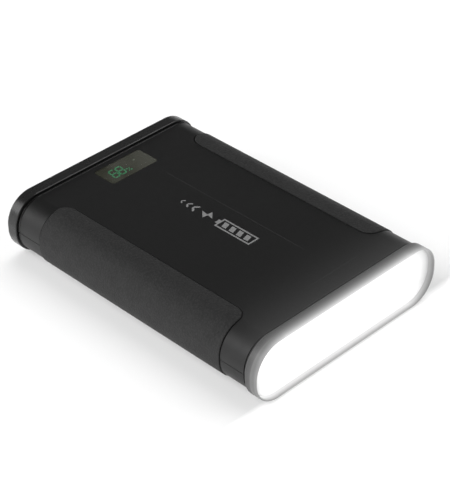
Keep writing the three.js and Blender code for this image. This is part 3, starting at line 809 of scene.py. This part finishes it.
def make_cap():
    cap = along_y("rear_cap_ring", [
        (REAR - 0.06, 2.3), (REAR, 2.0), (REAR, 0.85), (REAR - 0.12, 0.4), (REAR - 0.4, 0.12),
        (REAR - 0.85, 0.0), (CAP_FRONT + 0.48, 0.0), (CAP_FRONT + 0.34, 0.05),
        (CAP_FRONT + 0.05, 0.34), (CAP_FRONT, 0.48),
        (CAP_FRONT, SPIGOT_INSET), (CAP_LOW.y + 0.4, SPIGOT_INSET), (CAP_LOW.y, SPIGOT_INSET + 0.4),
        (CAP_LOW.y, SPIGOT_BORE), (PANEL_SEAT, SPIGOT_BORE),
        (PANEL_SEAT, PANEL_INSET - CLEARANCE), (REAR - 0.35, PANEL_INSET - 0.35),
    ], hollow=True)
    finish_piece(cap, MATERIALS["cap_plastic"], ["rear_cap"])


DC_SOCKETS = ("dc_input_socket", "dc_output_socket_1", "dc_output_socket_2")
USB_SOCKETS = ("usb_a_socket_1", "usb_a_socket_2", "usb_c_socket")
BUTTONS = ("power_button", "lamp_button")
CAP_SCREWS = tuple(f"cap_screw_{n}" for n in range(1, 5))

BUTTON_RADIUS = 5.3
BUTTON_FLANGE = 6.4
BUTTON_DISH = 4.4
DC_HOUSING = (9, 11)
DC_NOSE = 3.7
DC_BORE = 2.85
SCREW_HEAD = 2.6
SCREW_HEAD_HEIGHT = 1.6
USB_WALL = 0.3
USB_KINDS = {
    "usb_a": {"tongue": (11.0, 1.8), "lift": 1.1, "rows": (-1,), "pitch": 2.2, "contacts": 4},
    "usb_c": {"tongue": (6.6, 0.7), "lift": 0.0, "rows": (-1, 1), "pitch": 0.5, "contacts": 12},
}


def panel_hole(outline_at):
    """A cutter through the panel that flares at its outer face."""
    rear = PANEL_HIGH.y
    return stack_y("cutter", [
        (outline_at(0.0), PANEL_LOW.y - PAST), (outline_at(0.0), rear - 0.35),
        (outline_at(0.6), rear + 0.25)])


def usb_corner(name):
    """The corner radius of a USB socket's shell; USB-C has round ends."""
    return size(name).z / 2 if name.startswith("usb_c") else 0.7


def make_panel():
    panel = along_y("port_panel_plate", [
        (PANEL_LOW.y, PANEL_INSET), (PANEL_HIGH.y - 0.3, PANEL_INSET),
        (PANEL_HIGH.y - 0.08, PANEL_INSET + 0.08), (PANEL_HIGH.y, PANEL_INSET + 0.3)],
        hollow=False)
    for name in BUTTONS:
        at = middle(name).xz
        carve(panel, panel_hole(lambda grow: circle(at, BUTTON_RADIUS + 0.25 + grow, 64)))
    for name in DC_SOCKETS:
        at = middle(name).xz
        carve(panel, panel_hole(lambda grow: circle(at, DC_NOSE + 0.2 + grow)))
    for name in USB_SOCKETS:
        at = middle(name).xz
        across = size(name)
        radius = usb_corner(name) + (0.15 if name.startswith("usb_c") else 0.0)
        carve(panel, panel_hole(lambda grow: rounded_rectangle(
            across.x + 0.4 + 2 * grow, across.z + 0.4 + 2 * grow, radius + grow, centre=at)))
    for name in CAP_SCREWS:
        at = middle(name).xz
        seat = PANEL_HIGH.y - 1.2
        carve(panel, lathe("cutter", [
            (SCREW_HOLE, PANEL_LOW.y - PAST), (SCREW_HOLE, seat), (SCREW_WELL, seat),
            (SCREW_WELL, PANEL_HIGH.y - 0.25), (SCREW_WELL + 0.4, PANEL_HIGH.y + 0.15)], at, "Y", 40))
    finish_piece(panel, MATERIALS["panel_plastic"], ["port_panel"])


def make_dc_sockets():
    """Housings with a round nose and bore, each holding a centre pin and a sleeve contact."""
    for name in DC_SOCKETS:
        at = middle(name).xz
        low, high = node_box(name)
        floor = low.y + 3
        rear = high.y
        outline = rounded_rectangle(*DC_HOUSING, 0.8, centre=at)
        body = stack_y(name + "_housing", [(outline, low.y), (outline, PANEL_SEAT)])
        carve(body, lathe("nose", [
            (DC_NOSE, PANEL_SEAT - 1), (DC_NOSE, rear - 0.3), (DC_NOSE - 0.3, rear)],
            at, "Y", 48), "UNION")
        carve(body, lathe("cutter", [
            (DC_BORE, floor), (DC_BORE, rear - 0.5), (DC_BORE + 0.5, rear + 0.02),
            (DC_BORE + 0.5, rear + PAST)], at, "Y", 48))
        finish_piece(body, MATERIALS["socket_plastic"], [name])
        pin = lathe(name + "_pin", [
            (1.0, floor), (1.0, rear - 2.1), (0.85, rear - 1.7), (0.5, rear - 1.5)], at, "Y", 24)
        finish_piece(pin, MATERIALS["socket_metal"])
        sleeve = lathe(name + "_contact", [
            (2.8, floor + 0.2), (2.8, rear - 2.2), (2.5, rear - 2.0)], at, "Y", 40)
        carve(sleeve, lathe("cutter", [(2.45, floor - PAST), (2.45, rear)], at, "Y", 40))
        finish_piece(sleeve, MATERIALS["socket_metal"])


def usb_shell(name):
    """A USB socket's metal shell, open at its rear end."""
    at = middle(name).xz
    low, high = node_box(name)
    across = size(name)
    radius = usb_corner(name) - (0.01 if name.startswith("usb_c") else 0.0)

    def outline(inset):
        return rounded_rectangle(
            across.x - 2 * inset, across.z - 2 * inset, max(radius - inset, 0.2), centre=at)

    shell = stack_y(name + "_shell", [
        (outline(0), low.y), (outline(0), high.y - 0.12), (outline(0.1), high.y)])
    carve(shell, stack_y("cutter", [
        (outline(USB_WALL), low.y + 1.5), (outline(USB_WALL), high.y - 0.25),
        (outline(0.12), high.y + 0.02), (outline(0.12), high.y + PAST)]))
    finish_piece(shell, MATERIALS["socket_metal"], [name])


def usb_tongue(name, kind):
    """The insulating tongue inside a USB socket, with its contacts on one face or both."""
    width, height = kind["tongue"]
    x, z = middle(name).xz
    z += kind["lift"]
    low, high = node_box(name)
    outline = rounded_rectangle(width, height, 0.2, centre=(x, z))
    tip = rounded_rectangle(width - 0.5, height - 0.4, 0.1, centre=(x, z))
    tongue = stack_y(name + "_tongue", [
        (outline, low.y + 1.6), (outline, high.y - 1.3), (tip, high.y - 0.9)])
    finish_piece(tongue, MATERIALS["socket_plastic"])
    pads = []
    for level in kind["rows"]:
        for k in range(kind["contacts"]):
            spot = (x + (k - (kind["contacts"] - 1) / 2) * kind["pitch"],
                    z + level * (height / 2 + 0.02))
            pad = rounded_rectangle(kind["pitch"] * 0.5, 0.1, 0.04, centre=spot)
            pads.append(stack_y("pad", [(pad, low.y + 2), (pad, high.y - 1.8)]))
    finish_piece(merge(pads, name + "_contacts"), GOLD)


def make_usb_sockets():
    for name in USB_SOCKETS:
        usb_shell(name)
        usb_tongue(name, USB_KINDS[name[:5]])


def make_buttons():
    """Round keys with a dished face, and a flange that keeps each behind the panel."""
    for name in BUTTONS:
        low, high = node_box(name)
        top = high.y
        dish = [(r, top - 0.25 + 0.25 * (r / BUTTON_DISH) ** 2)
                for r in (BUTTON_DISH, 3.9, 3.2, 2.4, 1.5, 0.7, 0.0)]
        button = lathe(name + "_key", [
            (0, low.y), (1.5, low.y), (1.5, PANEL_SEAT - 1), (BUTTON_FLANGE - 0.2, PANEL_SEAT - 1),
            (BUTTON_FLANGE, PANEL_SEAT - 0.8), (BUTTON_FLANGE, PANEL_SEAT - 0.2),
            (BUTTON_FLANGE - 0.2, PANEL_SEAT), (BUTTON_RADIUS, PANEL_SEAT),
            (BUTTON_RADIUS, top - 0.7), (BUTTON_RADIUS - 0.08, top - 0.35),
            (BUTTON_RADIUS - 0.3, top - 0.1), (BUTTON_RADIUS - 0.6, top), *dish],
            middle(name).xz, "Y")
        finish_piece(button, MATERIALS["button_plastic"], [name], body=name)


def six_lobes(at):
    """The outline of a six-lobed drive socket."""
    angles = [2 * math.pi * i / 48 for i in range(48)]
    radii = [1.3 + 0.22 * math.cos(6 * angle) for angle in angles]
    return [(at[0] + r * math.cos(a), at[1] + r * math.sin(a)) for r, a in zip(radii, angles)]


def make_cap_screws():
    for name in CAP_SCREWS:
        at = middle(name).xz
        low, high = node_box(name)
        head = high.y - SCREW_HEAD_HEIGHT
        screw = lathe(name + "_turned", [
            (0.75, low.y), (1.2, low.y + 1.2), (1.2, head), (SCREW_HEAD - 0.05, head),
            (SCREW_HEAD, head + 0.1), (SCREW_HEAD, head + 0.75), (SCREW_HEAD - 0.15, head + 1.15),
            (SCREW_HEAD - 0.5, head + 1.45), (SCREW_HEAD - 1.0, high.y - 0.02), (0.0, high.y)],
            at, "Y", 40)
        lobes = six_lobes(at)
        carve(screw, stack_y("cutter", [(lobes, head + 0.5), (lobes, high.y + PAST)]))
        finish_piece(screw, MATERIALS["screw_steel"], [name])


def make_feet():
    """Rubber pads with a rounded lower edge and a shallow hollow underneath."""
    for number in range(1, 5):
        name = f"foot_{number}"
        radius = size(name).x / 2
        foot = lathe(name + "_pad", [
            (radius - 1.6, 0.25), (radius - 1.3, 0.0), (radius - 0.7, 0.0), (radius - 0.25, 0.15),
            (radius - 0.05, 0.5), (radius, 0.9), (radius, node_box(name)[1].z)],
            middle(name).xy, "Z")
        finish_piece(foot, MATERIALS["foot_rubber"], [name])


# ---- Display ----

DIGIT = {"width": 4.2, "height": 8.2, "stroke": 0.85, "slant": 0.12, "gap": 0.22}
SEGMENTS = {"6": "acdefg", "8": "abcdefg"}
# Each digit's lower left corner, from the window's centre
DIGIT_SPOTS = (("6", -12.0, -3.3), ("8", -6.6, -3.3))
FILM_SIZE = (32.4, 12.9)


def prism(points, low, high, stack=stack_z):
    return stack("segment", [(points, low), (points, high)])


def bar(start, end, width, low, high, stack=stack_z):
    """A six-sided bar between two points."""
    a, b = Vector(start), Vector(end)
    along = (b - a).normalized()
    across = Vector((-along.y, along.x)) * width / 2
    inner = along * width / 2
    points = [a, a + inner + across, b - inner + across, b, b - inner - across, a + inner - across]
    return prism([tuple(p) for p in points], low, high, stack)


def digit(symbol, x, y, low, high):
    width, height, stroke, gap = (DIGIT[k] for k in ("width", "height", "stroke", "gap"))

    def spot(u, v):
        return (x + u + DIGIT["slant"] * v, y + v)

    ends = {
        "a": ((0, height), (width, height)), "b": ((width, height), (width, height / 2)),
        "c": ((width, height / 2), (width, 0)), "d": ((0, 0), (width, 0)),
        "e": ((0, 0), (0, height / 2)), "f": ((0, height / 2), (0, height)),
        "g": ((0, height / 2), (width, height / 2)),
    }
    bars = []
    for name in SEGMENTS[symbol]:
        (u0, v0), (u1, v1) = ends[name]
        length = math.hypot(u1 - u0, v1 - v0)
        du, dv = (u1 - u0) / length * gap, (v1 - v0) / length * gap
        bars.append(bar(spot(u0 + du, v0 + dv), spot(u1 - du, v1 - dv), stroke, low, high))
    return bars


def make_pane():
    def outline(inset):
        return window_outline(inset, WINDOW_CORNER - inset / 2)

    low, high = WINDOW_LOW.z, WINDOW_HIGH.z
    pane = stack_z("display_pane", [
        (outline(0.1), low), (outline(0.0), low + 0.1), (outline(0.0), high - 0.22),
        (outline(0.07), high - 0.07), (outline(0.22), high)])
    finish_piece(pane, MATERIALS["display_glass"], ["display_window"])


def make_display():
    """The pane, and under it a dark film with two digits, a percent sign and a dot."""
    make_pane()
    base = WINDOW_LOW.z - 0.32
    top = WINDOW_LOW.z - 0.06
    x, y = WINDOW_CENTRE
    outline = rounded_rectangle(*FILM_SIZE, 0.8, centre=WINDOW_CENTRE)
    film = stack_z("display_film", [(outline, base - 0.3), (outline, base - 0.02)])
    finish_piece(film, MATERIALS["display_black"])
    parts = []
    for symbol, across, up in DIGIT_SPOTS:
        parts += digit(symbol, x + across, y + up, base, top)
    finish_piece(merge(parts, "lit_digits"), GREEN_LIGHT)
    percent = [bar((x - 0.4, y - 3.6), (x + 2.2, y), 0.5, base, top)]
    for spot in ((x - 0.1, y - 0.6), (x + 1.9, y - 3.0)):
        percent.append(prism(circle(spot, 0.62, 16), base, top))
    finish_piece(merge(percent, "lit_percent"), GREEN_LIGHT)
    dot = prism(circle((x + 10.0, y + 4.0), 0.6, 20), base, top)
    dot.name = "standby_dot"
    finish_piece(dot, PALE_LIGHT)


# ---- Printing, and moulded lines on the top ----

# Printing and lines stand a little proud of their face, and start a little below it
PRINT = 0.03
RISE = 0.025
SUNK = 0.05

FLASH = ((-0.9, -5.2), (4.1, -0.3), (0.2, 0.3), (1.1, 5.4), (-4.1, 0.0), (-0.1, -0.6))


def make_printed_mark():
    """A generic battery pictogram with a charge flash and fading arrowheads, read along the case."""
    low = BODY_TOP - SUNK
    high = BODY_TOP + PRINT
    parts = []

    def strokes(points, width):
        for start, end in zip(points, points[1:]):
            parts.append(bar(start, end, width, low, high))

    def block(x0, y0, x1, y1, slant=0.0):
        parts.append(prism([(x0, y0), (x1, y0 + slant), (x1, y1 + slant), (x0, y1)], low, high))

    left, right, front, rear = -4.6, 4.6, -31.0, -2.0
    wall = 1.1
    block(left, front, left + wall, rear)
    block(right - wall, front, right, rear)
    block(left + wall, front, right - wall, front + wall)
    block(left + wall, rear - wall, right - wall, rear)
    block(-1.9, rear, 1.9, rear + 1.9)
    for step in range(4):
        start = front + 3.0 + 6.1 * step
        block(left + 2.2, start, right - 2.2, start + 3.6, slant=1.4)
    parts.append(prism([(u + 0.3, v + 8.6) for u, v in FLASH], low, high))
    for step, width in enumerate((1.5, 1.2, 0.9)):
        tip = 20.6 + 5.0 * step
        reach = 3.3 - 0.7 * step
        strokes([(-reach, tip - reach), (0.0, tip), (reach, tip - reach)], width)
    finish_piece(merge(parts, "printed_mark"), INK)


def make_panel_icons():
    """Small generic pictograms under the sockets and buttons."""
    low = PANEL_HIGH.y - SUNK
    high = PANEL_HIGH.y + PRINT
    under_sockets = MID - 7.4
    under_buttons = MID - 8.6
    parts = []

    def stroke(points):
        for start, end in zip(points, points[1:]):
            parts.append(bar(start, end, 0.4, low, high, stack_y))

    def spokes(x, z, start, end):
        for k in range(8):
            along = (math.cos(k * math.pi / 4), math.sin(k * math.pi / 4))
            stroke([(x + r * along[0], z + r * along[1]) for r in (start, end)])

    def flash(x, z):
        outline = [(x + 0.33 * u, z + 0.33 * v) for u, v in FLASH]
        parts.append(prism(outline, low, high, stack_y))

    def arrow(x, z, way):
        stroke([(x, z + 1.2 * way), (x, z - 1.2 * way)])
        stroke([(x - 0.9, z - 0.3 * way), (x, z - 1.2 * way), (x + 0.9, z - 0.3 * way)])

    for name in USB_SOCKETS:
        flash(middle(name).x, under_sockets)
    for name, way in zip(DC_SOCKETS, (-1, 1, 1)):
        arrow(middle(name).x, under_sockets, way)
    power = middle("power_button").x
    stroke(arc((power, under_buttons), 1.4, 125, 415, 14))
    stroke([(power, under_buttons + 0.5), (power, under_buttons + 1.8)])
    lamp = middle("lamp_button").x
    parts.append(prism(circle((lamp, under_buttons), 0.75, 16), low, high, stack_y))
    spokes(lamp, under_buttons, 1.2, 1.85)
    finish_piece(merge(parts, "panel_icons"), INK)


def make_witness_lines():
    """Two faint moulded lines on the top, one along it and one across its front, in a lighter tone that
    is a painted highlight.
    """
    low = BODY_TOP - SUNK
    top = BODY_TOP + RISE
    for name, start, end in (("witness_line_long", (15.0, -58), (15.0, 60)),
                             ("witness_line_front", (-10, -84), (33, -84))):
        line = bar(start, end, 0.22, low, top)
        line.name = name
        finish_piece(line, RIDGE_PAINTED_HIGHLIGHT)


# ---- Stage, light and camera ----


FLOOR_REACH = 9000


def floor_paint():
    """Pale grey, with a painted pool of the lamp's light on the floor in front of its own plane."""
    shader = Shader("floor_paint", 0.9, specular=0.1)
    shader.color(shader.noise(400), [(0.3, 0.5), (0.7, 0.51)])
    x, y = (shader.axis(name) for name in "XY")
    # Painted pool of the lamp's light, weaker to the sides
    painted_lamp_pool = shader.fit(y, (FRONT + 5) * MM, (FRONT - 2) * MM, 0.3, 0.75)
    beside = shader.fit(shader.size_of(x), 0.1, 0.4, 1.0, 0.4)
    outward = shader.most(shader.size_of(x), shader.size_of(y))
    far = shader.fit(outward, 0.3, 1.2, 0.3, 0.6)
    return shader.glow(shader.most(shader.times(painted_lamp_pool, beside), far)).material


def make_stage():
    """A pale floor that the lamp lights, partly through a painted pool of light, under a plain backdrop
    that only the camera sees.
    """
    corners = ((-1, -1), (1, -1), (1, 1), (-1, 1))
    floor = mesh_object("floor", [(FLOOR_REACH * x, FLOOR_REACH * y, 0) for x, y in corners],
                        [(0, 1, 2, 3)])
    floor.data.materials.append(floor_paint())
    dome = lathe("backdrop", [(8000, -10), (8000, 3000), (7000, 6000), (4000, 8500), (10, 9500)],
                 (0, 0), "Z", 48)
    paper = Shader("backdrop_paper", 1.0, specular=0.0)
    paper.color(paper.noise(2000), [(0.3, 0.0), (0.7, 0.001)])
    paper.glow(1.05)
    dome.data.materials.append(paper.material)
    for ray in ("visible_diffuse", "visible_glossy", "visible_transmission", "visible_shadow",
                "visible_volume_scatter"):
        setattr(dome, ray, False)


def add_sun(name, energy, spread, lean_x, lean_y):
    """A distant light overhead that reflections don't show, leaning towards +X and +Y in degrees."""
    light = bpy.data.lights.new(name, "SUN")
    light.energy = energy
    light.angle = math.radians(spread)
    obj = bpy.data.objects.new(name, light)
    obj.rotation_euler = (math.radians(-lean_y), math.radians(lean_x), 0)
    obj.visible_glossy = False
    bpy.context.scene.collection.objects.link(obj)


HORIZON = 0.9
OVERHEAD = 0.036
DIM_SIDE = (0.7, 0.71, 0.0)
DIMMED = 0.72
SOFTBOX_SIDE = 1.2
SOFTBOX_DISTANCE = 2.5


def make_world():
    """Dim overhead, with a pale band round the horizon like a studio's low walls, darker at +X +Y."""
    world = bpy.data.worlds.new("studio")
    world.use_nodes = True
    tree = world.node_tree
    direction = tree.nodes.new("ShaderNodeTexCoord").outputs["Generated"]
    split = tree.nodes.new("ShaderNodeSeparateXYZ")
    tree.links.new(direction, split.inputs["Vector"])
    band = map_range(tree, split.outputs["Z"], 0.1, 0.38, HORIZON, OVERHEAD)
    band.interpolation_type = "SMOOTHSTEP"
    towards = tree.nodes.new("ShaderNodeVectorMath")
    towards.operation = "DOT_PRODUCT"
    towards.inputs[1].default_value = DIM_SIDE
    tree.links.new(direction, towards.inputs[0])
    shade = map_range(tree, towards.outputs["Value"], 0.2, 0.9, 1.0, DIMMED)
    strength = tree.nodes.new("ShaderNodeMath")
    strength.operation = "MULTIPLY"
    tree.links.new(band.outputs["Result"], strength.inputs[0])
    tree.links.new(shade.outputs["Result"], strength.inputs[1])
    background = tree.nodes["Background"]
    background.inputs["Color"].default_value = (1, 1, 1, 1)
    tree.links.new(strength.outputs["Value"], background.inputs["Strength"])
    bpy.context.scene.world = world


def direction_of(azimuth, elevation):
    """The unit vector at an azimuth, 0 at -Y and 90 at +X, and an elevation, in degrees."""
    turn, rise = math.radians(azimuth), math.radians(elevation)
    return Vector((math.sin(turn) * math.cos(rise), -math.cos(turn) * math.cos(rise), math.sin(rise)))


def add_softbox(name, azimuth, elevation, radiance):
    light = bpy.data.lights.new(name, "AREA")
    light.shape = "SQUARE"
    light.size = SOFTBOX_SIDE
    light.energy = radiance * math.pi * SOFTBOX_SIDE ** 2
    place = direction_of(azimuth, elevation) * SOFTBOX_DISTANCE
    obj = bpy.data.objects.new(name, light)
    obj.location = place
    obj.rotation_euler = place.to_track_quat("Z", "Y").to_euler()
    bpy.context.scene.collection.objects.link(obj)


def make_lights():
    make_world()
    add_sun("overhead", 2.0, spread=54, lean_x=28, lean_y=20)
    add_sun("left", 2.9, spread=44, lean_x=-44, lean_y=18)
    add_sun("fill", 0.2, spread=160, lean_x=0, lean_y=0)
    add_softbox("left_softbox", azimuth=-135, elevation=28, radiance=3.2)
    add_softbox("right_softbox", azimuth=46, elevation=36, radiance=3.0)


CAMERA_AZIMUTH = -43.948
CAMERA_ELEVATION = 35.761
CAMERA_ROLL = -1.083
CAMERA_DISTANCE = 1060.1
CAMERA_LENS = 125.31
AIM_RIGHT = 4.58
AIM_DOWN = 3.0


def make_camera():
    roll = math.radians(CAMERA_ROLL)
    back = direction_of(CAMERA_AZIMUTH, CAMERA_ELEVATION)
    level = Vector((0, 0, 1)).cross(back).normalized()
    upright = back.cross(level)
    right = level * math.cos(roll) + upright * math.sin(roll)
    up = upright * math.cos(roll) - level * math.sin(roll)
    centre = Vector((0, 0, MID))
    place = centre + back * CAMERA_DISTANCE
    aim = centre + right * AIM_RIGHT - up * AIM_DOWN
    axis_z = (place - aim).normalized()
    axis_x = up.cross(axis_z).normalized()
    axis_y = axis_z.cross(axis_x)
    camera = bpy.data.cameras.new("camera")
    camera.lens = CAMERA_LENS
    camera.sensor_width = 36
    camera.clip_end = 100
    obj = bpy.data.objects.new("camera", camera)
    bpy.context.scene.collection.objects.link(obj)
    turn = Matrix((axis_x, axis_y, axis_z)).transposed().to_4x4()
    obj.matrix_world = Matrix.Translation(place * MM) @ turn
    bpy.context.scene.camera = obj


make_camera()
dress_cad_nodes()
make_grips()
make_shells()
make_bezel()
make_lens()
make_cap()
make_panel()
make_dc_sockets()
make_usb_sockets()
make_buttons()
make_cap_screws()
make_feet()
make_display()
make_printed_mark()
make_panel_icons()
make_witness_lines()
make_stage()
make_lights()

view = bpy.context.scene.view_settings
view.view_transform = "Standard"
view.look = "None"
